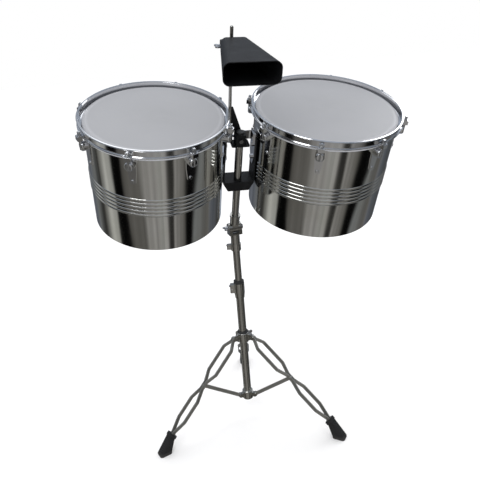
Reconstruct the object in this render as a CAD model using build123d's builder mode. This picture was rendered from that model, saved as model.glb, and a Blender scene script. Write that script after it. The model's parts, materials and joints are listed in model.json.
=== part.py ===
from build123d import *
import math
import os

# A pair of timbales on a height-adjustable tripod stand, with a cowbell on its own post.
# Millimetres, +Z up, origin on the floor under the middle of the bounding box.
# The drums lean towards the player, at -Y, about the tilter hinge that runs along X.

os.makedirs("parts", exist_ok=True)

# ---------------------------------------------------------------- driving dimensions
FIT = 0.05  # radial clearance of every shaft in its bore

COLUMN_X, COLUMN_Y = -13.4, 22.8  # column axis, measured from the middle of the footprint
LOWER_TUBE_R, LOWER_TUBE_BOTTOM, LOWER_TUBE_TOP = 12.0, 66.0, 465.0
MIDDLE_TUBE_R, MIDDLE_TUBE_BOTTOM, MIDDLE_TUBE_TOP = 10.5, 300.0, 600.0
UPPER_TUBE_R, TUBE_WALL = 10.0, 1.4

LEG_ANGLES = {"left": -166.7, "right": -46.7, "rear": 73.3}
LEG_PIVOT_R, LEG_PIVOT_Z = 34.0, 286.0
STAY_PIVOT_R, STAY_PIVOT_Z = 28.0, 80.0
LEG_END_R, LEG_END_Z = 291.0, 35.0
WAIST_SHARE = 0.457  # where the stay meets the leg, as a share of the leg's length
STRIP_T, STRIP_W, LEG_SPREAD = 3.5, 11.0, 21.0
STRIP_GAP = 4.0  # space between the two strips where they are pinched together
STAY_T, STAY_W = 3.0, 11.0
PIN_R = 3.0
FOOT_R = 303.0  # distance from the column axis to the middle of each foot

TILT_Z, TILT = 638.0, 21.75  # height of the tilter hinge and forward lean of the drums
CRADLE_YAW = -7.7  # the line of the two drums is turned this much about the upper tube
SET_BACK = 6.9  # the line of the two drums passes this far behind the upper tube
RIM_H = 362.8  # height of both rims above the hinge, along the upper tube
SHELL_GAP = 42.7  # from the upper tube's axis to the near side of each shell
DRUM_R = {"left": 165.1, "right": 177.8}
DRUM_SIDE = {"left": -1, "right": 1}
DRUM_DEPTH = 283.6  # rim to the lower edge of the shell
SHELL_T = 1.2
LUG_COUNT, LUG_START = 8, 22.5

POST_R, POST_LEAN = 4.0, 18.0
POST_U, POST_V, POST_H = -24.3, 14.5, 300.0  # foot of the post in the cradle's frame
POST_DOWN, POST_UP = 29.0, 250.0
POST_END_ROUND = 2.5
BELL_UP, BELL_YAW, BELL_LENGTH = 209.0, -7.9, 180.0


# ---------------------------------------------------------------- frames and shared shapes
def turned(frame, x, y, z, x_axis=(1, 0, 0), z_axis=(0, 0, 1)):
    """A plane at the local point (x, y, z) of frame, with its directions also given in that frame."""
    origin = frame.from_local_coords(Vector(x, y, z))
    x_dir = frame.from_local_coords(Vector(x_axis)) - frame.origin
    z_dir = frame.from_local_coords(Vector(z_axis)) - frame.origin
    return Plane(origin=origin, x_dir=x_dir, z_dir=z_dir)


def radial(angle):
    """A unit vector at this angle in the XY plane."""
    return (math.cos(math.radians(angle)), math.sin(math.radians(angle)), 0)


column = Plane(origin=(COLUMN_X, COLUMN_Y, 0))
lean = math.radians(TILT)
tube_frame = Plane(
    origin=(COLUMN_X, COLUMN_Y, TILT_Z), x_dir=(1, 0, 0), z_dir=(0, -math.sin(lean), math.cos(lean))
)
cradle_frame = turned(tube_frame, 0, 0, 0, x_axis=radial(CRADLE_YAW))
drum_frame = {
    side: turned(cradle_frame, sign * (SHELL_GAP + DRUM_R[side]), SET_BACK, RIM_H)
    for side, sign in DRUM_SIDE.items()
}
post_foot = cradle_frame.from_local_coords(Vector(POST_U, POST_V, POST_H))
post_frame = Plane(
    origin=post_foot,
    x_dir=(1, 0, 0),
    z_dir=(0, -math.sin(math.radians(POST_LEAN)), math.cos(math.radians(POST_LEAN))),
)
# Bell frame: its Z runs from the closed end to the mouth, its Y is up along the post.
bell_x = radial(BELL_YAW)
bell_out = (bell_x[1], -bell_x[0], 0)
bell_frame = turned(post_frame, 0, 0, BELL_UP, x_axis=bell_x, z_axis=bell_out)


def finish(builder, name):
    """Label a finished piece and write it."""
    builder.part.label = name
    export_step(builder.part, f"parts/{name}.step")


def disc(plane, radius, height, mode=Mode.ADD):
    """A cylinder that stands on plane; a negative height hangs below it."""
    with BuildSketch(plane) as profile:
        Circle(radius)
    extrude(profile.sketch, amount=height, mode=mode)


def block(plane, width, depth, height, mode=Mode.ADD, round_r=0.0):
    """A box that stands on plane, centred on it, with rounded upright edges if round_r is given."""
    with BuildSketch(plane) as profile:
        if round_r:
            RectangleRounded(width, depth, round_r)
        else:
            Rectangle(width, depth)
    extrude(profile.sketch, amount=height, mode=mode)


def wing_screw(seat, shank_r, shank_l, boss_r=5.0, boss_l=6.0, span=12.0):
    """A wing screw whose boss sits on the plane seat and whose shank runs back through it."""
    disc(seat, boss_r, boss_l)
    disc(seat, shank_r, -shank_l)
    wings = turned(seat, 0, 0, boss_l * 0.5, x_axis=(1, 0, 0), z_axis=(0, 1, 0))
    with BuildSketch(wings) as profile:
        with Locations((-span * 0.55, -3.0)):
            Ellipse(span * 0.45, 5.5, rotation=28)
        with Locations((span * 0.55, -3.0)):
            Ellipse(span * 0.45, 5.5, rotation=-28)
    extrude(profile.sketch, amount=1.3, both=True)


# ---------------------------------------------------------------- fixed column
def make_lower_tube():
    with BuildPart() as lower_tube:
        disc(column.offset(LOWER_TUBE_BOTTOM), LOWER_TUBE_R, LOWER_TUBE_TOP - LOWER_TUBE_BOTTOM)
        disc(
            column.offset(LOWER_TUBE_BOTTOM), MIDDLE_TUBE_R + FIT, LOWER_TUBE_TOP - LOWER_TUBE_BOTTOM,
            Mode.SUBTRACT,
        )
    finish(lower_tube, "lower_tube")


HUB_BOTTOM, HUB_R, HUB_HEIGHT, HUB_LUG_W = 60.0, 16.5, 30.0, 11.0


def make_base_hub():
    with BuildPart() as base_hub:
        disc(column.offset(HUB_BOTTOM), HUB_R, HUB_HEIGHT)
        chamfer(base_hub.edges().filter_by(GeomType.CIRCLE), 2.0)
        for angle in LEG_ANGLES.values():
            side_view = turned(column, 0, 0, 0, x_axis=radial(angle), z_axis=radial(angle - 90))
            with BuildSketch(side_view):
                with Locations((STAY_PIVOT_R, STAY_PIVOT_Z)):
                    Circle(7.0)
                with Locations((STAY_PIVOT_R / 2 + 6.0, STAY_PIVOT_Z - 2.0)):
                    Rectangle(STAY_PIVOT_R - 12.0, 13.0)
            extrude(amount=HUB_LUG_W / 2, both=True)
        for angle in LEG_ANGLES.values():
            side_view = turned(column, 0, 0, 0, x_axis=radial(angle), z_axis=radial(angle - 90))
            with BuildSketch(side_view):
                with Locations((STAY_PIVOT_R + 6.0, STAY_PIVOT_Z)):
                    Rectangle(26.0, 40.0)
            extrude(amount=STAY_T / 2 + 0.3, both=True, mode=Mode.SUBTRACT)
            with BuildSketch(side_view):
                with Locations((STAY_PIVOT_R, STAY_PIVOT_Z)):
                    Circle(PIN_R + FIT)
            extrude(amount=20.0, both=True, mode=Mode.SUBTRACT)
        disc(column.offset(LOWER_TUBE_BOTTOM), LOWER_TUBE_R + FIT, HUB_HEIGHT, Mode.SUBTRACT)
        disc(column.offset(HUB_BOTTOM), 5.0, HUB_HEIGHT, Mode.SUBTRACT)
    finish(base_hub, "base_hub")


def make_pins(name, pivot_r, pivot_z, grip):
    """Three headed pins, one across each clevis; grip is the length between their heads."""
    with BuildPart() as pins:
        for angle in LEG_ANGLES.values():
            across = turned(
                column, pivot_r * radial(angle)[0], pivot_r * radial(angle)[1], pivot_z,
                x_axis=radial(angle), z_axis=radial(angle - 90),
            )
            with BuildSketch(across):
                Circle(PIN_R)
            extrude(amount=grip / 2, both=True)
            for turn in (1, -1):
                disc(turned(across, 0, 0, turn * grip / 2, z_axis=(0, 0, turn)), PIN_R + 2.2, 1.8)
    finish(pins, name)


CLAMP_BOTTOM, CLAMP_R, CLAMP_ANGLE = 417.0, 16.0, 160.0
CLAMP_BOLT_Z, CLAMP_BOLT_R = 448.0, 2.6


def clamp_bolt_plane():
    """Seat of the height clamp's wing bolt, on the outer face of its split lug."""
    out = radial(CLAMP_ANGLE)
    along = radial(CLAMP_ANGLE - 90)
    x = COLUMN_X + 21.5 * out[0] + 9.0 * along[0]
    y = COLUMN_Y + 21.5 * out[1] + 9.0 * along[1]
    return Plane(origin=(x, y, CLAMP_BOLT_Z), x_dir=out, z_dir=along)


def make_height_clamp():
    body_frame = turned(column, 0, 0, 0, x_axis=radial(CLAMP_ANGLE), z_axis=(0, 0, 1))
    with BuildPart() as height_clamp:
        with BuildSketch(body_frame.offset(CLAMP_BOTTOM)):
            Circle(LOWER_TUBE_R + 1.6)
        with BuildSketch(body_frame.offset(CLAMP_BOTTOM + 18.0)):
            Circle(CLAMP_R)
        loft()
        disc(body_frame.offset(CLAMP_BOTTOM + 18.0), CLAMP_R, LOWER_TUBE_TOP - CLAMP_BOTTOM - 18.0)
        block(turned(body_frame, 17.0, 0, CLAMP_BOLT_Z - 13.0), 20.0, 18.0, 26.0, round_r=4.0)
        disc(body_frame.offset(CLAMP_BOTTOM - 1.0), LOWER_TUBE_R + FIT, 60.0, Mode.SUBTRACT)
        block(turned(body_frame, 22.0, 0, CLAMP_BOTTOM - 1.0), 24.0, 2.4, 60.0, Mode.SUBTRACT)
        disc(clamp_bolt_plane().offset(1.0), CLAMP_BOLT_R + FIT, -22.0, Mode.SUBTRACT)
    finish(height_clamp, "height_clamp")


def make_height_clamp_bushing():
    with BuildPart() as height_clamp_bushing:
        disc(column.offset(LOWER_TUBE_TOP), CLAMP_R - 0.6, 9.0)
        chamfer(height_clamp_bushing.edges().group_by(Axis.Z)[-1], 2.2)
        disc(column.offset(LOWER_TUBE_TOP - 1.0), MIDDLE_TUBE_R + FIT, 20.0, Mode.SUBTRACT)
    finish(height_clamp_bushing, "height_clamp_bushing")


def make_height_wing_bolt():
    with BuildPart() as height_wing_bolt:
        wing_screw(clamp_bolt_plane().offset(0.05), CLAMP_BOLT_R, 20.0, boss_r=4.6, boss_l=10.0, span=10.0)
    finish(height_wing_bolt, "height_wing_bolt")


# ---------------------------------------------------------------- tripod
COLLAR_BOTTOM, COLLAR_R, COLLAR_H = 268.0, 17.5, 31.0
EAR_T = STRIP_GAP - 0.4
COLLAR_SCREW_ANGLE, COLLAR_SCREW_Z, COLLAR_SCREW_R = 13.3, 283.5, 3.0


def leg_side_view(angle):
    """The upright plane of one leg: local X runs outwards from the column, local Y is up."""
    return turned(column, 0, 0, 0, x_axis=radial(angle), z_axis=radial(angle - 90))


def make_leg_collar():
    with BuildPart() as leg_collar:
        disc(column.offset(COLLAR_BOTTOM), COLLAR_R, COLLAR_H)
        chamfer(leg_collar.edges().filter_by(GeomType.CIRCLE), 1.5)
        screw_seat = turned(column, 0, 0, COLLAR_SCREW_Z, x_axis=(0, 0, 1), z_axis=radial(COLLAR_SCREW_ANGLE))
        disc(screw_seat, 7.0, COLLAR_R + 5.0)
        for angle in LEG_ANGLES.values():
            with BuildSketch(leg_side_view(angle)):
                with Locations((LEG_PIVOT_R, LEG_PIVOT_Z)):
                    Circle(7.5)
                with Locations((LEG_PIVOT_R / 2 + 6.0, LEG_PIVOT_Z - 1.5)):
                    Rectangle(LEG_PIVOT_R - 12.0, 18.0)
            extrude(amount=EAR_T / 2, both=True)
            with BuildSketch(leg_side_view(angle)):
                with Locations((LEG_PIVOT_R, LEG_PIVOT_Z)):
                    Circle(PIN_R + FIT)
            extrude(amount=EAR_T, both=True, mode=Mode.SUBTRACT)
        disc(column.offset(COLLAR_BOTTOM - 1.0), LOWER_TUBE_R + FIT, COLLAR_H + 2.0, Mode.SUBTRACT)
        disc(screw_seat.offset(LOWER_TUBE_R), COLLAR_SCREW_R + FIT, 20.0, Mode.SUBTRACT)
    finish(leg_collar, "leg_collar")


def make_leg_collar_bushing():
    with BuildPart() as leg_collar_bushing:
        disc(column.offset(COLLAR_BOTTOM + COLLAR_H), COLLAR_R - 1.5, 6.0)
        chamfer(leg_collar_bushing.edges().group_by(Axis.Z)[-1], 1.5)
        disc(column.offset(COLLAR_BOTTOM + COLLAR_H - 1.0), LOWER_TUBE_R + FIT, 10.0, Mode.SUBTRACT)
    finish(leg_collar_bushing, "leg_collar_bushing")


def make_leg_collar_wing_bolt():
    seat = turned(column, 0, 0, COLLAR_SCREW_Z, x_axis=(0, 0, 1), z_axis=radial(COLLAR_SCREW_ANGLE))
    with BuildPart() as leg_collar_wing_bolt:
        wing_screw(seat.offset(COLLAR_R + 5.05), COLLAR_SCREW_R, COLLAR_R + 4.8 - LOWER_TUBE_R, boss_r=5.0)
    finish(leg_collar_wing_bolt, "leg_collar_wing_bolt")


LEG_LENGTH = math.hypot(LEG_END_R - LEG_PIVOT_R, LEG_PIVOT_Z - LEG_END_Z)
LEG_SLOPE = math.degrees(math.atan2(LEG_PIVOT_Z - LEG_END_Z, LEG_END_R - LEG_PIVOT_R))
WAIST = WAIST_SHARE * LEG_LENGTH
WAIST_R = LEG_PIVOT_R + WAIST_SHARE * (LEG_END_R - LEG_PIVOT_R)
WAIST_Z = LEG_PIVOT_Z - WAIST_SHARE * (LEG_PIVOT_Z - LEG_END_Z)


def leg_frame(angle):
    """Leg frame: origin at the upper pivot, X down along the leg, Y across, Z normal to the leg's top."""
    pivot = turned(
        column, LEG_PIVOT_R * radial(angle)[0], LEG_PIVOT_R * radial(angle)[1], LEG_PIVOT_Z,
        x_axis=radial(angle), z_axis=(0, 0, 1),
    )
    slope = math.radians(LEG_SLOPE)
    return turned(
        pivot, 0, 0, 0, x_axis=(math.cos(slope), 0, -math.sin(slope)),
        z_axis=(math.sin(slope), 0, math.cos(slope)),
    )


def strip_path(side):
    """Corners of one strip's centre line: pinched at the pivot, at the waist and at the foot."""
    pinch = (STRIP_GAP + STRIP_T) / 2
    bow = LEG_SPREAD * 0.85
    stations = [
        (-6.0, pinch), (8.0, pinch), (34.0, LEG_SPREAD), (WAIST - 46.0, LEG_SPREAD), (WAIST - 12.0, pinch),
        (WAIST + 12.0, pinch), (WAIST + 50.0, bow), (LEG_LENGTH - 76.0, bow),
        (LEG_LENGTH - 34.0, pinch), (LEG_LENGTH, pinch),
    ]
    return [(x, side * y) for x, y in stations]


def make_leg(name, angle):
    frame = leg_frame(angle)
    with BuildPart() as leg:
        for side in (1, -1):
            with BuildSketch(frame):
                with BuildLine():
                    FilletPolyline(*strip_path(side), radius=9.0)
                trace(line_width=STRIP_T)
            extrude(amount=STRIP_W / 2, both=True)
        across = turned(frame, 0, 0, 0, z_axis=(0, 1, 0))
        with BuildSketch(across):
            Circle(PIN_R + FIT)
        extrude(amount=20.0, both=True, mode=Mode.SUBTRACT)
        for side in (1, -1):
            waist_face = turned(frame, WAIST, side * (STRIP_GAP / 2 + STRIP_T), 0, z_axis=(0, side, 0))
            disc(waist_face, 4.6, 1.8)
    finish(leg, f"leg_{name}")


FOOT_TOP = 28.0  # how far up the leg the foot reaches, from the strips' lower ends
POCKET_SLACK = 0.1


def make_foot(name, angle):
    """A rubber foot: a block on the leg's lower end that widens to a flat sole on the floor."""
    frame = leg_frame(angle)
    neck = turned(frame, LEG_LENGTH - FOOT_TOP, 0, 0, x_axis=(0, 0, -1), z_axis=(1, 0, 0))
    waist = turned(frame, LEG_LENGTH - FOOT_TOP + 9.0, 0, 0, x_axis=(0, 0, -1), z_axis=(1, 0, 0))
    sole = turned(column, FOOT_R * radial(angle)[0], FOOT_R * radial(angle)[1], 0, x_axis=radial(angle))
    with BuildPart() as foot:
        with BuildSketch(neck):
            RectangleRounded(25.0, 27.0, 6.0)
        with BuildSketch(waist):
            RectangleRounded(25.0, 27.0, 6.0)
        loft()
        with BuildSketch(waist):
            RectangleRounded(22.0, 24.0, 6.0)
        with BuildSketch(sole.offset(4.0)):
            RectangleRounded(38.0, 31.0, 8.0)
        loft()
        with BuildSketch(sole):
            RectangleRounded(38.0, 31.0, 8.0)
        extrude(amount=4.0)
        pocket = turned(frame, LEG_LENGTH - 40.0, 0, 0, x_axis=(0, 1, 0), z_axis=(1, 0, 0))
        width = STRIP_GAP + 2 * STRIP_T + POCKET_SLACK
        block(pocket, width, STRIP_W + POCKET_SLACK, 40.0 + POCKET_SLACK, Mode.SUBTRACT)
    finish(foot, f"foot_{name}")


def make_stay(name, angle):
    rise, run = WAIST_Z - STAY_PIVOT_Z, WAIST_R - STAY_PIVOT_R
    tilt = math.degrees(math.atan2(rise, run))
    length = math.hypot(rise, run)
    with BuildPart() as stay:
        with BuildSketch(leg_side_view(angle)):
            with Locations(Location((STAY_PIVOT_R + run / 2, STAY_PIVOT_Z + rise / 2, 0), (0, 0, tilt))):
                SlotCenterToCenter(length, STAY_W)
            with Locations((STAY_PIVOT_R, STAY_PIVOT_Z)):
                Circle(PIN_R + FIT, mode=Mode.SUBTRACT)
            with Locations((WAIST_R, WAIST_Z)):
                Circle(2.4, mode=Mode.SUBTRACT)
        extrude(amount=STAY_T / 2, both=True)
    finish(stay, f"stay_{name}")


# ---------------------------------------------------------------- mast and tilter
SLEEVE_BOTTOM, SLEEVE_R, SLEEVE_TOP = 568.0, 13.0, 618.0
SWIVEL_SCREW_Z, SWIVEL_SCREW_R = 580.0, 2.6
CHEEK_GAP, CHEEK_W, HINGE_BOSS_R = 19.0, 9.5, 14.0
HINGE_BOLT_R = 4.0


def make_middle_tube():
    height = MIDDLE_TUBE_TOP - MIDDLE_TUBE_BOTTOM
    with BuildPart() as middle_tube:
        disc(column.offset(MIDDLE_TUBE_BOTTOM), MIDDLE_TUBE_R, height)
        disc(column.offset(MIDDLE_TUBE_BOTTOM), MIDDLE_TUBE_R - TUBE_WALL, height, Mode.SUBTRACT)
    finish(middle_tube, "middle_tube")


def swivel_screw_plane():
    """Seat of the swivel clamp's wing screw, square to the gap of its split ring."""
    out, along = radial(CLAMP_ANGLE), radial(CLAMP_ANGLE - 90)
    x = COLUMN_X + 20.0 * out[0] + 7.0 * along[0]
    y = COLUMN_Y + 20.0 * out[1] + 7.0 * along[1]
    return Plane(origin=(x, y, SWIVEL_SCREW_Z), x_dir=out, z_dir=along)


def make_tilter_sleeve():
    frame = turned(column, 0, 0, 0, x_axis=radial(CLAMP_ANGLE))
    with BuildPart() as tilter_sleeve:
        disc(frame.offset(SLEEVE_BOTTOM), SLEEVE_R, SLEEVE_TOP - SLEEVE_BOTTOM)
        disc(frame.offset(SLEEVE_BOTTOM + 2.0), SLEEVE_R + 1.8, 20.0)
        block(turned(frame, 16.0, 0, SWIVEL_SCREW_Z - 7.0), 20.0, 14.0, 14.0, round_r=3.0)
        bore_length = MIDDLE_TUBE_TOP - SLEEVE_BOTTOM + 2.0
        disc(frame.offset(SLEEVE_BOTTOM - 1.0), MIDDLE_TUBE_R + FIT, bore_length, Mode.SUBTRACT)
        block(turned(frame, 20.0, 0, SLEEVE_BOTTOM - 1.0), 22.0, 2.0, 24.0, Mode.SUBTRACT)
        disc(swivel_screw_plane().offset(1.0), SWIVEL_SCREW_R + FIT, -20.0, Mode.SUBTRACT)
    finish(tilter_sleeve, "tilter_sleeve")


def make_swivel_wing_screw():
    with BuildPart() as swivel_wing_screw:
        wing_screw(swivel_screw_plane().offset(0.05), SWIVEL_SCREW_R, 15.5, boss_r=4.4, boss_l=9.0, span=8.0)
    finish(swivel_wing_screw, "swivel_wing_screw")


def make_tilter_base():
    """A clevis casting: a foot on the sleeve and two cheeks that hold the hinge bolt."""
    side_view = turned(column, 0, 0, 0, x_axis=(0, 1, 0), z_axis=(1, 0, 0))
    with BuildPart() as tilter_base:
        with BuildSketch(side_view):
            with Locations((0, TILT_Z)):
                Circle(HINGE_BOSS_R)
            with Locations((0, (SLEEVE_TOP + TILT_Z) / 2)):
                Rectangle(2 * HINGE_BOSS_R - 2.0, TILT_Z - SLEEVE_TOP)
        extrude(amount=CHEEK_GAP / 2 + CHEEK_W, both=True)
        with BuildSketch(side_view):
            with Locations((0, TILT_Z)):
                Rectangle(60.0, 2 * HINGE_BOSS_R + 3.0)
        extrude(amount=CHEEK_GAP / 2, both=True, mode=Mode.SUBTRACT)
        hinge = turned(column, -40.0, 0, TILT_Z, x_axis=(0, 1, 0), z_axis=(1, 0, 0))
        disc(hinge, HINGE_BOLT_R + FIT, 80.0, Mode.SUBTRACT)
    finish(tilter_base, "tilter_base")


SOCKET_START, SOCKET_END, SOCKET_R = 17.0, 46.0, 13.5


def make_tilter_head():
    """The hinged casting: a tongue between the cheeks and a socket for the upper tube."""
    across = turned(tube_frame, 0, 0, 0, x_axis=(0, 1, 0), z_axis=(1, 0, 0))
    with BuildPart() as tilter_head:
        with BuildSketch(across):
            Circle(HINGE_BOSS_R)
            with Locations((0, SOCKET_START / 2 + 2.0)):
                Rectangle(22.0, SOCKET_START + 4.0)
        extrude(amount=CHEEK_GAP / 2 - 0.1, both=True)
        disc(tube_frame.offset(SOCKET_START), SOCKET_R, SOCKET_END - SOCKET_START)
        disc(tube_frame.offset(SOCKET_END - 6.0), SOCKET_R + 1.5, 6.0)
        disc(tube_frame.offset(SOCKET_START + 3.0), UPPER_TUBE_R + FIT, 60.0, Mode.SUBTRACT)
        hinge = turned(tube_frame, -20.0, 0, 0, x_axis=(0, 1, 0), z_axis=(1, 0, 0))
        disc(hinge, HINGE_BOLT_R + FIT, 40.0, Mode.SUBTRACT)
    finish(tilter_head, "tilter_head")


def make_tilter_wing_screw():
    """The hinge bolt, with its wing on the left and its nut on the right."""
    reach = CHEEK_GAP / 2 + CHEEK_W + 0.1
    seat = turned(column, -reach, 0, TILT_Z, x_axis=(0, 1, 0), z_axis=(-1, 0, 0))
    with BuildPart() as tilter_wing_screw:
        wing_screw(seat, HINGE_BOLT_R, 2 * reach, boss_r=6.5, boss_l=9.0, span=15.0)
        with BuildSketch(turned(column, reach, 0, TILT_Z, x_axis=(0, 1, 0), z_axis=(1, 0, 0))):
            RegularPolygon(7.0, 6)
        extrude(amount=5.0)
    finish(tilter_wing_screw, "tilter_wing_screw")


UPPER_TUBE_BOTTOM, UPPER_TUBE_TOP = SOCKET_START + 3.1, 302.0


def make_upper_tube():
    height = UPPER_TUBE_TOP - UPPER_TUBE_BOTTOM
    with BuildPart() as upper_tube:
        disc(tube_frame.offset(UPPER_TUBE_BOTTOM), UPPER_TUBE_R, height)
        disc(tube_frame.offset(UPPER_TUBE_BOTTOM), UPPER_TUBE_R - TUBE_WALL, height, Mode.SUBTRACT)
    finish(upper_tube, "upper_tube")


def make_upper_tube_cap():
    with BuildPart() as upper_tube_cap:
        disc(tube_frame.offset(UPPER_TUBE_TOP), UPPER_TUBE_R, 3.0)
        disc(tube_frame.offset(UPPER_TUBE_TOP), UPPER_TUBE_R - TUBE_WALL - FIT, -12.0)
    finish(upper_tube_cap, "upper_tube_cap")


# ---------------------------------------------------------------- drum holder
ARM_T, CRADLE_DEPTH, CRADLE_TOP, CRADLE_H, ARM_TOP = 3.0, 50.0, 166.0, 27.0, 285.0
ARM_OUT = SHELL_GAP - 1.8  # the arms stand clear of the raised beads of the shells
BOLT_HEIGHTS, BOLT_R = (228.0, 264.0), 3.0
PLATE_T, PLATE_BOTTOM, PLATE_TOP, PLATE_W = 2.5, 211.0, 300.0, 44.0


def front_view(back=0.0):
    """The upright plane across both drums: local X runs along their line, local Y up the tube."""
    return turned(cradle_frame, 0, SET_BACK + back, 0, z_axis=(0, -1, 0))


def cradle_outline(inset):
    """Half outline of the cradle's lower channel, inset by the sheet's thickness for its inside."""
    foot = 28.0
    side, top, low = ARM_OUT - inset, CRADLE_TOP - inset, CRADLE_TOP - CRADLE_H
    bend = CRADLE_TOP - 4.0
    return [(-side, top), (-side, bend), (-foot + inset, low), (foot - inset, low), (side, bend), (side, top)]


def make_cradle():
    """A formed steel sheet: a channel with its open side down, and two upright arms."""
    with BuildPart() as cradle:
        with BuildSketch(front_view()):
            with BuildLine():
                Polyline(*cradle_outline(0.0), close=True)
            make_face()
        extrude(amount=CRADLE_DEPTH / 2, both=True)
        with BuildSketch(front_view()):
            with BuildLine():
                Polyline(*cradle_outline(ARM_T), close=True)
            make_face()
        extrude(amount=CRADLE_DEPTH / 2 - ARM_T, both=True, mode=Mode.SUBTRACT)
        for sign in (-1, 1):
            arm = turned(cradle_frame, sign * (ARM_OUT - ARM_T / 2), SET_BACK, CRADLE_TOP - ARM_T)
            block(arm, ARM_T, CRADLE_DEPTH, ARM_TOP - CRADLE_TOP + ARM_T)
            for height in BOLT_HEIGHTS:
                start = sign * 30.0
                hole = turned(cradle_frame, start, SET_BACK, height, x_axis=(0, 1, 0), z_axis=(sign, 0, 0))
                disc(hole, BOLT_R + FIT, 20.0, Mode.SUBTRACT)
        disc(cradle_frame.offset(CRADLE_TOP - 10.0), UPPER_TUBE_R + FIT, 20.0, Mode.SUBTRACT)
    finish(cradle, "cradle")


def make_cradle_collar():
    """The ring under the cradle that is screwed to the tube and carries the drums."""
    with BuildPart() as cradle_collar:
        disc(cradle_frame.offset(CRADLE_TOP - ARM_T - 0.05), 14.8, -(CRADLE_H - ARM_T - 1.0))
        disc(cradle_frame.offset(CRADLE_TOP), UPPER_TUBE_R + FIT, -40.0, Mode.SUBTRACT)
    finish(cradle_collar, "cradle_collar")


CLAMP_LOW, CLAMP_HIGH = 272.0, 300.0
TIE_V, TIE_T, TIE_LOW, TIE_HIGH = 17.35, 2.5, 274.0, 297.0


def make_top_clamp():
    """The black casting at the top of the tube, with a shelf under it."""
    with BuildPart() as top_clamp:
        block(turned(cradle_frame, 1.0, 2.0, CLAMP_LOW - 4.0), 46.0, 34.0, 4.0, round_r=4.0)
        block(turned(cradle_frame, 0, 1.0, CLAMP_LOW), 27.0, 30.0, CLAMP_HIGH - CLAMP_LOW, round_r=5.0)
        disc(cradle_frame.offset(CLAMP_LOW - 10.0), UPPER_TUBE_R + FIT, 60.0, Mode.SUBTRACT)
        with BuildSketch(turned(cradle_frame, 0, -24.0, 286.0, z_axis=(0, 1, 0))):
            Circle(2.5 + FIT)
        extrude(amount=24.0 - UPPER_TUBE_R, mode=Mode.SUBTRACT)
        disc(post_frame.offset(-POST_DOWN - 1.0), POST_R + 4.0 + FIT, 90.0, Mode.SUBTRACT)
    finish(top_clamp, "top_clamp")


def make_top_clamp_bolt():
    with BuildPart() as top_clamp_bolt:
        seat = turned(cradle_frame, 0, -14.05, 286.0, z_axis=(0, -1, 0))
        with BuildSketch(seat):
            RegularPolygon(5.5, 6)
        extrude(amount=6.0)
        disc(seat, 2.5, -(14.0 - UPPER_TUBE_R))
    finish(top_clamp_bolt, "top_clamp_bolt")


def make_cross_tie():
    """A chrome strap from the back of the clamp, bent to lie along the right mount plate."""
    reach = ARM_OUT - ARM_T - PLATE_T - 0.2 - TIE_T / 2
    with BuildPart() as cross_tie:
        with BuildSketch(cradle_frame.offset(TIE_LOW)):
            with BuildLine():
                FilletPolyline((-11.0, TIE_V), (reach, TIE_V), (reach, TIE_V - 22.0), radius=4.0)
            trace(line_width=TIE_T)
        extrude(amount=TIE_HIGH - TIE_LOW)
    finish(cross_tie, "cross_tie")


def make_mount_plate(side):
    """A chrome tapered plate with a rounded lower end, on the inside of one cradle arm."""
    sign = DRUM_SIDE[side]
    face = turned(
        cradle_frame,
        sign * (ARM_OUT - ARM_T - PLATE_T - 0.05), SET_BACK, 0,
        x_axis=(0, 1, 0), z_axis=(sign, 0, 0)
    )
    up = 1 if sign > 0 else -1
    with BuildPart() as mount_plate:
        with BuildSketch(face):
            with BuildLine():
                FilletPolyline(
                    (-PLATE_W / 2, up * PLATE_TOP), (PLATE_W / 2, up * PLATE_TOP), (PLATE_W / 2, up * 240.0),
                    (9.0, up * PLATE_BOTTOM), (-9.0, up * PLATE_BOTTOM), (-PLATE_W / 2, up * 240.0),
                    radius=5.0, close=True,
                )
            make_face()
            for height in BOLT_HEIGHTS:
                with Locations((0, up * height)):
                    Circle(BOLT_R + FIT, mode=Mode.SUBTRACT)
        extrude(amount=PLATE_T)
    finish(mount_plate, f"{side}_mount_plate")


def make_mount_bolts(side):
    """Two bolts through plate, arm and shell, with a nut inside the shell."""
    sign = DRUM_SIDE[side]
    start = ARM_OUT - ARM_T - PLATE_T - 0.1
    inside = SHELL_GAP + SHELL_T + 0.15
    with BuildPart() as mount_bolts:
        for height in BOLT_HEIGHTS:
            seat = turned(cradle_frame, sign * start, SET_BACK, height, x_axis=(0, 1, 0), z_axis=(-sign, 0, 0))
            with BuildSketch(seat):
                RegularPolygon(6.0, 6)
            extrude(amount=4.5)
            disc(seat, BOLT_R, -(inside - start + 8.0))
            nut = turned(cradle_frame, sign * inside, SET_BACK, height, x_axis=(0, 1, 0), z_axis=(sign, 0, 0))
            with BuildSketch(nut):
                RegularPolygon(6.0, 6)
            extrude(amount=5.0)
    finish(mount_bolts, f"{side}_mount_bolts")


# ---------------------------------------------------------------- cowbell post and bell
def make_post_holder():
    """A socket for the post, closed below, with a tapered gusset that rises beside it."""
    with BuildPart() as post_holder:
        disc(post_frame.offset(-POST_DOWN), POST_R + 4.0, POST_DOWN + 14.0)
        gusset = turned(post_frame, 0, 0, 0, z_axis=(0, -1, 0))
        with BuildSketch(gusset):
            with BuildLine():
                near = POST_R + 0.6
                Polyline((near, 0.4), (30.0, 0.4), (near + 3.0, 62.0), (near, 62.0), close=True)
            make_face()
        extrude(amount=2.0, both=True)
        disc(post_frame.offset(-POST_DOWN + 4.0), POST_R + FIT, 90.0, Mode.SUBTRACT)
        disc(turned(post_frame, 0, 0, -8.0, z_axis=(0, -1, 0)).offset(POST_R), 2.5 + FIT, 12.0, Mode.SUBTRACT)
    finish(post_holder, "post_holder")


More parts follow.
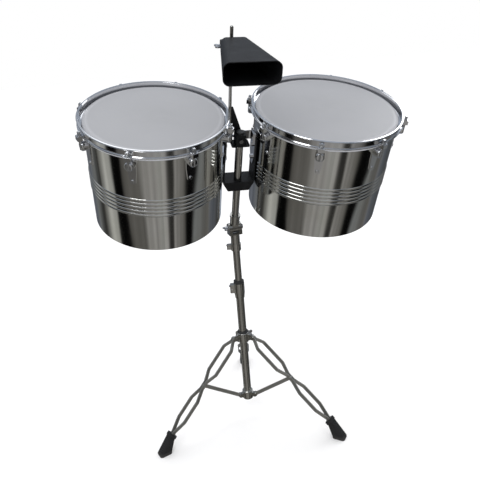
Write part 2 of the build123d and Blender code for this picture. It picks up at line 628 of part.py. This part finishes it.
def make_post_wing_bolt():
    with BuildPart() as post_wing_bolt:
        seat = turned(post_frame, 0, 0, -8.0, z_axis=(0, -1, 0)).offset(POST_R + 4.1)
        wing_screw(seat, 2.5, 3.9, boss_r=4.2, boss_l=5.0, span=8.0)
    finish(post_wing_bolt, "post_wing_bolt")


def make_cowbell_post():
    with BuildPart() as cowbell_post:
        disc(post_frame.offset(-POST_DOWN + 4.1), POST_R, POST_DOWN + POST_UP - 4.1)
        fillet(cowbell_post.edges().filter_by(GeomType.CIRCLE), POST_END_ROUND)
    finish(cowbell_post, "cowbell_post")


BELL_STAND_OFF = 14.0  # from the post's axis to the bell's closed end
BELL_SHIFT = 5.0
BELL_SIZE = {"closed": (65.0, 41.0), "mouth": (121.0, 48.0)}
BELL_CORNER, BELL_T = 13.0, 1.8
EYE_BOLT_R, EYE_BOLT_Z = 2.6, 7.5
CLAMP_BLOCK_LEFT, CLAMP_BLOCK_RIGHT, CLAMP_BLOCK_H = -25.0, 10.0, 20.0
WING_NUT_X = -28.2  # just outside the closed end, so that the wings can turn


def bell_solid(inset, start, mode):
    """A tapered box with rounded corners from the closed end to the mouth."""
    shrink = 2 * inset
    closed = turned(bell_frame, BELL_SHIFT, 0, BELL_STAND_OFF + start)
    mouth = turned(bell_frame, BELL_SHIFT, 0, BELL_STAND_OFF + BELL_LENGTH)
    with BuildSketch(closed) as closed_end:
        RectangleRounded(BELL_SIZE["closed"][0] - shrink, BELL_SIZE["closed"][1] - shrink, BELL_CORNER - inset)
    with BuildSketch(mouth) as mouth_end:
        wide, high = BELL_SIZE["mouth"]
        RectangleRounded(wide - shrink, high - shrink, BELL_CORNER + 2.0 - inset)
    loft([closed_end.sketch.face(), mouth_end.sketch.face()], mode=mode)


def make_cowbell():
    with BuildPart() as cowbell:
        bell_solid(0.0, 0.0, Mode.ADD)
        bell_solid(BELL_T, BELL_T, Mode.SUBTRACT)
    finish(cowbell, "cowbell")


def make_cowbell_clamp():
    """The block behind the bell: the post passes up through it, the eye bolt across it."""
    with BuildPart() as cowbell_clamp:
        middle, width = (CLAMP_BLOCK_LEFT + CLAMP_BLOCK_RIGHT) / 2, CLAMP_BLOCK_RIGHT - CLAMP_BLOCK_LEFT
        block(turned(bell_frame, middle, 0, -9.0), width, CLAMP_BLOCK_H, BELL_STAND_OFF + 8.95, round_r=3.0)
        disc(turned(post_frame, 0, 0, BELL_UP - 20.0), POST_R + FIT, 40.0, Mode.SUBTRACT)
        eye = turned(bell_frame, 20.0, 0, EYE_BOLT_Z, x_axis=(0, 0, 1), z_axis=(-1, 0, 0))
        disc(eye, EYE_BOLT_R + FIT, 60.0, Mode.SUBTRACT)
    finish(cowbell_clamp, "cowbell_clamp")


def make_cowbell_eye_bolt():
    """A bolt across the clamp block, with a round head on the right."""
    with BuildPart() as cowbell_eye_bolt:
        head = turned(bell_frame, CLAMP_BLOCK_RIGHT + 0.1, 0, EYE_BOLT_Z, x_axis=(0, 0, 1), z_axis=(1, 0, 0))
        disc(head, EYE_BOLT_R + 2.2, 3.5)
        disc(head, EYE_BOLT_R, WING_NUT_X - CLAMP_BLOCK_RIGHT - 9.0)
    finish(cowbell_eye_bolt, "cowbell_eye_bolt")


def make_cowbell_wing_nut():
    with BuildPart() as cowbell_wing_nut:
        seat = turned(bell_frame, WING_NUT_X, 0, EYE_BOLT_Z, x_axis=(0, 0, 1), z_axis=(-1, 0, 0))
        wing_screw(seat, EYE_BOLT_R + 0.8, -7.0, boss_r=4.6, boss_l=6.0, span=12.0)
        disc(seat.offset(-1.0), EYE_BOLT_R + FIT, 20.0, Mode.SUBTRACT)
    finish(cowbell_wing_nut, "cowbell_wing_nut")


# ---------------------------------------------------------------- drums
SHELL_TOP, BEAD_CENTRE, BEAD_PITCH, BEAD_COUNT, BEAD_HALF, BEAD_RISE = -12.8, -158.0, 10.5, 5, 3.4, 1.6
SCREW_R, SCREW_LOW, SCREW_HIGH = 2.0, -85.0, -39.5
ROD_R, ROD_OUT = 3.0, 18.0
TURRET_Z, TURRET_R, TURRET_OUT = -39.5, 11.0, 24.0


def shell_wall(radius):
    """One side of the shell's section, from its top edge to its bottom edge, with the beads."""
    with BuildLine() as wall:
        start = (radius, SHELL_TOP)
        for k in range(BEAD_COUNT):
            middle = BEAD_CENTRE + BEAD_PITCH * ((BEAD_COUNT - 1) / 2 - k)
            Line(start, (radius, middle + BEAD_HALF))
            ThreePointArc((radius, middle + BEAD_HALF), (radius + BEAD_RISE, middle), (radius, middle - BEAD_HALF))
            start = (radius, middle - BEAD_HALF)
        Line(start, (radius, -DRUM_DEPTH))
    return wall.line


def make_shell(side):
    radius = DRUM_R[side]
    frame = drum_frame[side]
    section = turned(frame, 0, 0, 0, z_axis=(0, -1, 0))
    outer, inner = shell_wall(radius), shell_wall(radius - SHELL_T)
    with BuildPart() as shell:
        with BuildSketch(section):
            with BuildLine():
                add(outer)
                add(inner)
                Line((radius, SHELL_TOP), (radius - SHELL_T, SHELL_TOP))
                Line((radius, -DRUM_DEPTH), (radius - SHELL_T, -DRUM_DEPTH))
            make_face()
            with Locations((radius - 1.6, -DRUM_DEPTH + 1.6)):
                Circle(1.6)
        revolve(axis=Axis(frame.origin, frame.z_dir))
        for k in range(LUG_COUNT):
            angle = LUG_START + 360.0 / LUG_COUNT * k
            for height in (SCREW_LOW, SCREW_HIGH):
                hole = turned(frame, 0, 0, height, x_axis=(0, 0, 1), z_axis=radial(angle))
                disc(hole.offset(radius - 6.0), SCREW_R + FIT, 12.0, Mode.SUBTRACT)
        inward = -DRUM_SIDE[side]
        for height in BOLT_HEIGHTS:
            hole = turned(frame, 0, 0, height - RIM_H, x_axis=(0, 1, 0), z_axis=(inward, 0, 0))
            disc(hole.offset(radius - 6.0), BOLT_R + FIT, 12.0, Mode.SUBTRACT)
    finish(shell, f"{side}_shell")


def make_head(side):
    """The drumhead: a taut film with a sloping collar, and the hoop that its edge is crimped in."""
    radius = DRUM_R[side]
    film = 0.5
    top = [(0, -9.5), (radius - 7.0, -9.5), (radius - 0.4, -11.0), (radius + 0.7, -12.2), (radius + 0.7, -20.0)]
    under = [(x - (film if z < -11.5 else 0.0), z - (film if z > -19.0 else 0.0)) for x, z in top]
    with BuildPart() as head:
        with BuildSketch(turned(drum_frame[side], 0, 0, 0, z_axis=(0, -1, 0))):
            with BuildLine():
                Polyline(*top, *reversed(under), close=True)
            make_face()
            with Locations((radius + 3.4, -23.5)):
                RectangleRounded(6.2, 7.0, 1.2)
        revolve(axis=Axis(drum_frame[side].origin, drum_frame[side].z_dir))
    finish(head, f"{side}_head")


def make_counter_hoop(side):
    """A flanged steel hoop: a rolled lip on top and an outward flange for the claws below."""
    radius = DRUM_R[side]
    outline = [
        (6.6, -1.0), (7.6, 0.0), (11.2, 0.0), (12.2, -1.2), (11.4, -2.6), (8.8, -3.4), (8.8, -16.6), (12.5, -17.4),
        (12.5, -19.6), (1.6, -19.9), (1.6, -18.2), (6.6, -17.2),
    ]
    with BuildPart() as counter_hoop:
        with BuildSketch(turned(drum_frame[side], 0, 0, 0, z_axis=(0, -1, 0))) as section:
            with BuildLine():
                Polyline(*[(radius + x, z) for x, z in outline], close=True)
            make_face()
            fillet([corner for corner in section.vertices() if corner.X > radius + 11.8], 0.7)
        revolve(axis=Axis(drum_frame[side].origin, drum_frame[side].z_dir))
    finish(counter_hoop, f"{side}_counter_hoop")


def drum_group(side, name, shape):
    """Eight copies of one fitting around a drum, written as one node."""
    with BuildPart(drum_frame[side]) as group:
        with PolarLocations(DRUM_R[side], LUG_COUNT, start_angle=LUG_START):
            add(shape)
    finish(group, f"{side}_{name}")


# The fittings are drawn with X outwards from the shell's surface and Z up from the rim.
def lug_shape(radius):
    with BuildPart() as lug:
        back = Plane(origin=(-1.0, 0, 0), x_dir=(0, 1, 0), z_dir=(1, 0, 0))
        with BuildSketch(back):
            with BuildLine():
                FilletPolyline(
                    (-10.0, -28.0), (10.0, -28.0), (10.0, -60.0), (6.5, -93.0), (-6.5, -93.0), (-10.0, -60.0),
                    radius=4.5, close=True,
                )
            make_face()
        extrude(amount=3.2)
        disc(Plane(origin=(-1.0, 0, TURRET_Z), x_dir=(0, 1, 0), z_dir=(1, 0, 0)), TURRET_R, TURRET_OUT - 3.0)
        fillet(lug.edges().filter_by(GeomType.CIRCLE).sort_by(Axis.X)[-1], 5.0)
        disc(Plane(origin=(-radius, 0, -120.0)), radius + FIT, 120.0, Mode.SUBTRACT)
        disc(Plane(origin=(ROD_OUT, 0, TURRET_Z - 8.0)), ROD_R + FIT, 40.0, Mode.SUBTRACT)
        hole = Plane(origin=(-2.0, 0, SCREW_LOW), x_dir=(0, 1, 0), z_dir=(1, 0, 0))
        disc(hole, SCREW_R + FIT, 10.0, Mode.SUBTRACT)
        hole = Plane(origin=(-2.0, 0, SCREW_HIGH), x_dir=(0, 1, 0), z_dir=(1, 0, 0))
        disc(hole, SCREW_R + FIT, 12.0, Mode.SUBTRACT)
    return lug.part


def claw_shape(radius):
    side_view = Plane(origin=(0, 0, 0), x_dir=(1, 0, 0), z_dir=(0, -1, 0))
    with BuildPart() as claw:
        with BuildSketch(side_view):
            with BuildLine():
                FilletPolyline(
                    (9.3, -16.6), (9.3, -12.2), (17.0, -11.0), (25.0, -13.0), (25.0, -23.6), (13.0, -23.6),
                    (13.0, -17.1), radius=0.9, close=True,
                )
            make_face()
        extrude(amount=6.5, both=True)
        disc(Plane(origin=(ROD_OUT, 0, -40.0)), ROD_R + FIT, 60.0, Mode.SUBTRACT)
        disc(Plane(origin=(ROD_OUT, 0, -12.4)), 5.6, 10.0, Mode.SUBTRACT)
        disc(Plane(origin=(-radius, 0, -17.2)), radius + 9.3, 10.0, Mode.SUBTRACT)
    return claw.part


def rod_shape():
    with BuildPart() as rod:
        disc(Plane(origin=(ROD_OUT, 0, TURRET_Z - 7.9)), ROD_R, -12.0 - TURRET_Z + 7.9)
        disc(Plane(origin=(ROD_OUT, 0, -12.35)), 5.2, 2.4)
        block(Plane(origin=(ROD_OUT, 0, -9.95)), 6.4, 6.4, 7.5)
        chamfer(rod.edges().group_by(Axis.Z)[-1], 0.8)
    return rod.part


def screw_shapes():
    """The lower screw has its head outside; the upper one has its head inside the shell."""
    with BuildPart() as screws:
        outside = Plane(origin=(2.25, 0, SCREW_LOW), x_dir=(0, 1, 0), z_dir=(1, 0, 0))
        disc(outside, 4.0, 2.4)
        fillet(screws.edges().filter_by(GeomType.CIRCLE).sort_by(Axis.X)[-1], 1.2)
        disc(outside, SCREW_R, -10.0)
        nut = Plane(origin=(-SHELL_T - 0.2, 0, SCREW_LOW), x_dir=(0, 1, 0), z_dir=(-1, 0, 0))
        disc(nut, 4.0, 3.0)
        inside = Plane(origin=(-SHELL_T - 0.2, 0, SCREW_HIGH), x_dir=(0, 1, 0), z_dir=(-1, 0, 0))
        disc(inside, 4.0, 2.5)
        disc(inside, SCREW_R, -(SHELL_T + 9.0))
    return screws.part


def make_drum(side):
    radius = DRUM_R[side]
    make_shell(side)
    make_head(side)
    make_counter_hoop(side)
    drum_group(side, "lugs", lug_shape(radius))
    drum_group(side, "claws", claw_shape(radius))
    drum_group(side, "tension_rods", rod_shape())
    drum_group(side, "lug_screws", screw_shapes())
    make_mount_plate(side)
    make_mount_bolts(side)


# ---------------------------------------------------------------- build every piece
make_lower_tube()
make_base_hub()
make_pins("hub_pins", STAY_PIVOT_R, STAY_PIVOT_Z, HUB_LUG_W + 0.1)
make_height_clamp()
make_height_clamp_bushing()
make_height_wing_bolt()
make_leg_collar()
make_leg_collar_bushing()
make_pins("leg_collar_pins", LEG_PIVOT_R, LEG_PIVOT_Z, STRIP_GAP + 2 * STRIP_T + 0.3)
make_leg_collar_wing_bolt()
for leg_name, leg_angle in LEG_ANGLES.items():
    make_leg(leg_name, leg_angle)
    make_foot(leg_name, leg_angle)
    make_stay(leg_name, leg_angle)
make_middle_tube()
make_tilter_sleeve()
make_swivel_wing_screw()
make_tilter_base()
make_tilter_head()
make_tilter_wing_screw()
make_upper_tube()
make_upper_tube_cap()
make_cradle()
make_cradle_collar()
make_top_clamp()
make_top_clamp_bolt()
make_cross_tie()
make_post_holder()
make_post_wing_bolt()
make_cowbell_post()
make_cowbell_clamp()
make_cowbell_eye_bolt()
make_cowbell_wing_nut()
make_cowbell()
for drum_side in DRUM_SIDE:
    make_drum(drum_side)
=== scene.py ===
import bpy
import json
import math
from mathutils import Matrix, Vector


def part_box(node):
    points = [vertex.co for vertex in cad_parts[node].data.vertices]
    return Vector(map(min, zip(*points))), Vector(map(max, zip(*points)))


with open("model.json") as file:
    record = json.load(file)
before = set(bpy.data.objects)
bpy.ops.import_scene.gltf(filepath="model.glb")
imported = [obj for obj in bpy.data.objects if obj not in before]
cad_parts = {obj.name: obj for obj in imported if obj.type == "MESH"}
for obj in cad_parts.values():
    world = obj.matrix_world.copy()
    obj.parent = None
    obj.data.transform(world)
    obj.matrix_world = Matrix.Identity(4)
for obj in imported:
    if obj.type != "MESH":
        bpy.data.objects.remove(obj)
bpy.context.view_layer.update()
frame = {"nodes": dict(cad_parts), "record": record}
nodes = frame["nodes"]


# ---------------------------------------------------------------- named values, in metres
RIB_PITCH = 0.0052
THREAD_PITCH = 0.0009
DUST_TOP = 0.012  # the dust on the feet fades out at this height
FILM_RING = (0.020, 0.014)  # the brighter ring's fade begins and ends this far inside the head's edge
WORN_START = 0.02  # the stick-worn middle of a head begins to fade this far from its centre
STREAKS, STREAK_LOW, STREAK_HIGH = 34.0, 0.50, 0.90  # how fine and how bright the surround's streaks are
SWAY = 0.075  # how far the surround's panels bend from upright, as a share of a full turn
LIGHT_AIM = (0.0, 0.0, 0.75)
FLOOR_HALF = 40.0
CAMERA_PLACE = (-0.4338, -1.3172, 1.0993)
CAMERA_TURN = (70.307, 4.202, -19.462)  # degrees
CAMERA_LENS, CAMERA_SENSOR = 38.82, 36.0  # millimetres


# ---------------------------------------------------------------- node helpers
class Graph:
    """A node tree, with short calls for the nodes this scene uses."""

    def __init__(self, node_tree, coordinates):
        self.nodes, self.links = node_tree.nodes, node_tree.links
        self.place = self.nodes.new("ShaderNodeTexCoord").outputs[coordinates]

    def put(self, socket, value):
        if isinstance(value, bpy.types.NodeSocket):
            self.links.new(value, socket)
        else:
            socket.default_value = value

    def stretched(self, scale):
        node = self.nodes.new("ShaderNodeMapping")
        self.links.new(self.place, node.inputs["Vector"])
        node.inputs["Scale"].default_value = scale
        return node.outputs["Vector"]

    def noise(self, scale, detail=3.0, rough=0.55, vector=None):
        node = self.nodes.new("ShaderNodeTexNoise")
        self.links.new(vector or self.place, node.inputs["Vector"])
        node.inputs["Scale"].default_value = scale
        node.inputs["Detail"].default_value = detail
        node.inputs["Roughness"].default_value = rough
        return node.outputs["Fac"]

    def spread(self, value, low, high, start=0.3, end=0.7):
        node = self.nodes.new("ShaderNodeMapRange")
        self.put(node.inputs["Value"], value)
        node.inputs["From Min"].default_value = start
        node.inputs["From Max"].default_value = end
        node.inputs["To Min"].default_value = low
        node.inputs["To Max"].default_value = high
        return node.outputs["Result"]

    def maths(self, kind, a, b):
        node = self.nodes.new("ShaderNodeMath")
        node.operation = kind
        self.put(node.inputs[0], a)
        self.put(node.inputs[1], b)
        return node.outputs["Value"]

    def measured(self, kind, vector):
        """The distance from the place to a vector, or their dot product."""
        node = self.nodes.new("ShaderNodeVectorMath")
        node.operation = kind
        self.links.new(self.place, node.inputs[0])
        node.inputs[1].default_value = vector
        return node.outputs["Value"]

    def split(self):
        node = self.nodes.new("ShaderNodeSeparateXYZ")
        self.links.new(self.place, node.inputs["Vector"])
        return node.outputs

    def mix(self, share, a, b, kind="MIX"):
        node = self.nodes.new("ShaderNodeMix")
        node.data_type, node.blend_type = "RGBA", kind
        self.put(node.inputs["Factor"], share)
        self.put(node.inputs[6], a)
        self.put(node.inputs[7], b)
        return node.outputs[2]

    def bump(self, height, strength, distance, below=None):
        node = self.nodes.new("ShaderNodeBump")
        self.put(node.inputs["Height"], height)
        node.inputs["Strength"].default_value = strength
        node.inputs["Distance"].default_value = distance
        if below:
            self.links.new(below, node.inputs["Normal"])
        return node.outputs["Normal"]


class Tree(Graph):
    """A new material's node tree."""

    def __init__(self, name):
        self.material = bpy.data.materials.new(name)
        self.material.use_nodes = True
        super().__init__(self.material.node_tree, "Object")
        self.shader = self.nodes["Principled BSDF"]

    def finish(self, **inputs):
        """Sets the shader's inputs and returns the material."""
        for name, value in inputs.items():
            self.put(self.shader.inputs[name.replace("_", " ")], value)
        return self.material


# ---------------------------------------------------------------- materials
def plated(name, colour, tint, rough_low, rough_high, wave, metallic=1.0):
    """Plated metal: faint smudges in its gloss, a slow waviness and fine hairlines."""
    tree = Tree(name)
    smudge = tree.noise(9.0, 5.0, 0.6)
    hair = tree.noise(60.0, 2.0, 0.5, tree.stretched((1.0, 1.0, 14.0)))
    slow = tree.bump(tree.noise(5.0, 1.0), wave, 0.004)
    fine = tree.bump(hair, 0.02, 0.0004, slow)
    return tree.finish(
        Base_Color=tree.mix(tree.spread(smudge, 0.0, 1.0), colour, tint),
        Metallic=metallic,
        Roughness=tree.spread(smudge, rough_low, rough_high),
        Normal=fine,
    )


def black_paint():
    """Satin black coating with a fine orange-peel and lighter rubbed patches."""
    tree = Tree("satin_black_paint")
    peel = tree.bump(tree.noise(900.0, 2.0), 0.10, 0.0002)
    worn = tree.noise(22.0, 6.0, 0.65)
    return tree.finish(
        Base_Color=tree.mix(
            tree.spread(worn, 0.0, 1.0, 0.45, 0.75), (0.006, 0.0065, 0.0075, 1), (0.013, 0.014, 0.016, 1)
        ),
        Roughness=tree.spread(worn, 0.40, 0.54),
        Specular_IOR_Level=0.25,
        Normal=peel,
    )


def moulded(name, colour, rough):
    """Moulded nylon with a fine grain."""
    tree = Tree(name)
    grain = tree.noise(1400.0, 2.0)
    return tree.finish(
        Base_Color=tree.mix(tree.noise(40.0), colour, [c * 1.5 for c in colour[:3]] + [1]),
        Roughness=tree.spread(grain, rough - 0.06, rough + 0.08),
        Normal=tree.bump(grain, 0.15, 0.0003),
    )


def foot_rubber():
    """Black rubber, ribbed round the foot, with pale dust near the floor."""
    tree = Tree("ribbed_rubber")
    height = tree.split()["Z"]
    rib = tree.maths("SINE", tree.maths("MULTIPLY", height, 2 * math.pi / RIB_PITCH), 0.0)
    rib = tree.spread(rib, 0.0, 1.0, -0.4, 0.4)
    dust = tree.maths("MULTIPLY", tree.spread(height, 0.5, 0.0, 0.0, DUST_TOP), tree.noise(90.0, 5.0))
    grain = tree.bump(tree.noise(1600.0, 2.0), 0.2, 0.0002)
    return tree.finish(
        Base_Color=tree.mix(dust, (0.013, 0.013, 0.014, 1), (0.16, 0.15, 0.14, 1)),
        Roughness=tree.spread(tree.noise(70.0), 0.55, 0.75),
        Normal=tree.bump(rib, 0.9, 0.0012, grain),
    )


def drum_film(side):
    """White film: a faint cloudiness, a light stick-worn middle and a brighter ring at its edge."""
    low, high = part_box(f"{side}_head")
    centre, radius = (low + high) / 2, (high.x - low.x) / 2
    tree = Tree(f"{side}_drum_film")
    away = tree.measured("DISTANCE", centre)
    edge = tree.spread(away, 0.0, 1.0, radius - FILM_RING[0], radius - FILM_RING[1])
    middle = tree.spread(away, 1.0, 0.0, WORN_START, radius * 0.6)
    worn = tree.maths("MULTIPLY", middle, tree.noise(35.0, 6.0))
    cloud = tree.mix(tree.noise(7.0, 4.0), (0.332, 0.338, 0.356, 1), (0.365, 0.371, 0.389, 1))
    used = tree.mix(tree.maths("MULTIPLY", worn, 0.35), cloud, (0.284, 0.288, 0.300, 1))
    return tree.finish(
        Base_Color=tree.mix(edge, used, (0.42, 0.427, 0.45, 1)),
        Roughness=tree.spread(worn, 0.38, 0.52, 0.0, 0.6),
        Specular_IOR_Level=0.4,
        Normal=tree.bump(tree.noise(700.0, 3.0), 0.08, 0.0002),
    )


def threaded(side):
    """Plated rod with a fine screw thread round it, along the drum's own axis."""
    ends = [sum(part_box(f"{side}_{node}"), Vector()) / 2 for node in ("shell", "head")]
    axis = (ends[1] - ends[0]).normalized()
    tree = Tree(f"{side}_threaded_rod")
    along = tree.measured("DOT_PRODUCT", axis)
    thread = tree.maths("SINE", tree.maths("MULTIPLY", along, 2 * math.pi / THREAD_PITCH), 0.0)
    smudge = tree.noise(40.0, 4.0)
    return tree.finish(
        Base_Color=tree.mix(smudge, (0.74, 0.75, 0.77, 1), (0.62, 0.62, 0.62, 1)),
        Metallic=1.0,
        Roughness=tree.spread(smudge, 0.10, 0.22),
        Normal=tree.bump(tree.spread(thread, 0.0, 1.0, -1.0, 1.0), 0.5, 0.0004),
    )


MATERIALS = {
    "shell_chrome": plated("shell_chrome", (0.80, 0.80, 0.79, 1), (0.74, 0.74, 0.70, 1), 0.045, 0.11, 0.24),
    "chrome": plated("bright_chrome", (0.82, 0.82, 0.83, 1), (0.74, 0.75, 0.77, 1), 0.06, 0.15, 0.04),
    "stand_chrome": plated("stand_chrome", (0.60, 0.59, 0.56, 1), (0.48, 0.47, 0.44, 1), 0.14, 0.28, 0.04),
    "leg_steel": plated("leg_steel", (0.46, 0.455, 0.43, 1), (0.34, 0.335, 0.31, 1), 0.26, 0.40, 0.05, 0.85),
    "black_paint": black_paint(),
    "black_nylon": moulded("black_nylon", (0.018, 0.018, 0.019, 1), 0.45),
    "rubber": foot_rubber(),
}


def dress(node, material):
    """Gives one CAD node this material."""
    mesh = nodes[node].data
    mesh.materials.clear()
    mesh.materials.append(material)


for part in frame["record"]["subparts"]:
    if part["material_slot"] in MATERIALS:
        dress(part["node"], MATERIALS[part["material_slot"]])
for side in ("left", "right"):
    dress(f"{side}_head", drum_film(side))
    dress(f"{side}_tension_rods", threaded(side))


# ---------------------------------------------------------------- studio
def card(name, place, size, power):
    """A soft rectangular light that faces the object."""
    data = bpy.data.lights.new(name, "AREA")
    data.shape = "RECTANGLE"
    data.size, data.size_y = size
    data.energy = power
    light = bpy.data.objects.new(name, data)
    light.location = place
    light.rotation_euler = (Vector(LIGHT_AIM) - Vector(place)).to_track_quat("-Z", "Y").to_euler()
    bpy.context.scene.collection.objects.link(light)


def studio_world():
    """Even white light, and upright dark and bright panels that only polished metal mirrors."""
    world = bpy.data.worlds.new("studio")
    bpy.context.scene.world = world
    world.use_nodes = True
    sky = Graph(world.node_tree, "Generated")
    direction = sky.split()
    turn = sky.spread(sky.maths("ARCTAN2", direction["Y"], direction["X"]), 0.0, 1.0, -math.pi, math.pi)
    bend = sky.maths("SUBTRACT", sky.noise(2.2, 2.0, 0.5), 0.5)
    panels = sky.nodes.new("ShaderNodeValToRGB")
    sky.put(panels.inputs["Fac"], sky.maths("ADD", turn, sky.maths("MULTIPLY", bend, SWAY)))
    stops = panels.color_ramp.elements
    stops[0].position, stops[0].color = PANELS[0]
    stops[1].position, stops[1].color = PANELS[-1]
    for position, colour in PANELS[1:-1]:
        stops.new(position).color = colour
    upright = sky.nodes.new("ShaderNodeCombineXYZ")
    sky.put(upright.inputs["X"], sky.maths("MULTIPLY", turn, STREAKS))
    sky.put(upright.inputs["Y"], sky.maths("MULTIPLY", direction["Z"], 1.3))
    streak = sky.spread(sky.noise(1.0, 3.0, 0.5, upright.outputs["Vector"]), STREAK_LOW, STREAK_HIGH)
    grey = sky.nodes.new("ShaderNodeCombineColor")
    for name in ("Red", "Green", "Blue"):
        sky.put(grey.inputs[name], streak)
    walls = sky.mix(1.0, panels.outputs["Color"], grey.outputs["Color"], "MULTIPLY")
    mirrored = sky.mix(sky.spread(direction["Z"], 0.0, 0.65, 0.05, 0.55), walls, CEILING)
    ray = sky.nodes.new("ShaderNodeLightPath").outputs
    lit = sky.mix(ray["Is Glossy Ray"], EVEN_LIGHT, mirrored)
    seen = sky.mix(ray["Is Camera Ray"], lit, PAPER_WHITE)
    sky.put(sky.nodes["Background"].inputs["Color"], seen)


EVEN_LIGHT = (1.04, 1.04, 1.05, 1)
PAPER_WHITE = (1.0, 1.0, 1.0, 1)
CEILING = (0.42, 0.47, 0.55, 1)
BLACK = (0.004, 0.004, 0.004, 1)
DARK = (0.042, 0.041, 0.038, 1)
TAUPE = (0.150, 0.144, 0.134, 1)
WARM = (0.36, 0.35, 0.335, 1)
LIGHT = (0.50, 0.50, 0.47, 1)
GREY = (0.25, 0.26, 0.26, 1)
STEEL = (0.165, 0.180, 0.210, 1)
ICE = (0.55, 0.61, 0.72, 1)
PANELS = (
    (0.00, BLACK), (0.015, BLACK), (0.03, TAUPE), (0.08, TAUPE), (0.10, WARM), (0.19, WARM), (0.22, LIGHT),
    (0.255, WARM), (0.28, DARK), (0.30, DARK), (0.315, WARM), (0.38, TAUPE), (0.40, BLACK), (0.44, BLACK),
    (0.46, GREY), (0.53, TAUPE), (0.56, STEEL), (0.61, DARK), (0.65, ICE), (0.70, STEEL), (0.79, STEEL),
    (0.84, GREY), (0.88, DARK), (0.92, LIGHT), (0.95, LIGHT), (0.965, BLACK), (1.00, BLACK),
)

studio_world()
card("key", (-1.4, -1.6, 2.6), (0.9, 0.9), 12)
card("rim_card", (2.0, 0.9, 2.0), (0.5, 1.6), 9)
card("top", (0.1, 0.8, 2.9), (1.8, 1.0), 6)

floor = bpy.data.objects.new("floor", bpy.data.meshes.new("floor"))
corners = [(x * FLOOR_HALF, y * FLOOR_HALF, 0) for x, y in ((-1, -1), (1, -1), (1, 1), (-1, 1))]
floor.data.from_pydata(corners, [], [(0, 1, 2, 3)])
bpy.context.scene.collection.objects.link(floor)
floor.visible_glossy = False
paper = Tree("studio_floor")
floor.data.materials.append(
    paper.finish(
        Base_Color=paper.mix(paper.noise(3.0), (0.985, 0.985, 0.985, 1), (1.0, 1.0, 1.0, 1)),
        Roughness=0.9,
        Specular_IOR_Level=0.0,
    )
)

camera = bpy.data.objects.new("camera", bpy.data.cameras.new("camera"))
camera.data.sensor_width = CAMERA_SENSOR
camera.data.lens = CAMERA_LENS
camera.location = CAMERA_PLACE
camera.rotation_euler = [math.radians(a) for a in CAMERA_TURN]
bpy.context.scene.collection.objects.link(camera)
bpy.context.scene.camera = camera
bpy.context.scene.view_settings.view_transform = "Standard"
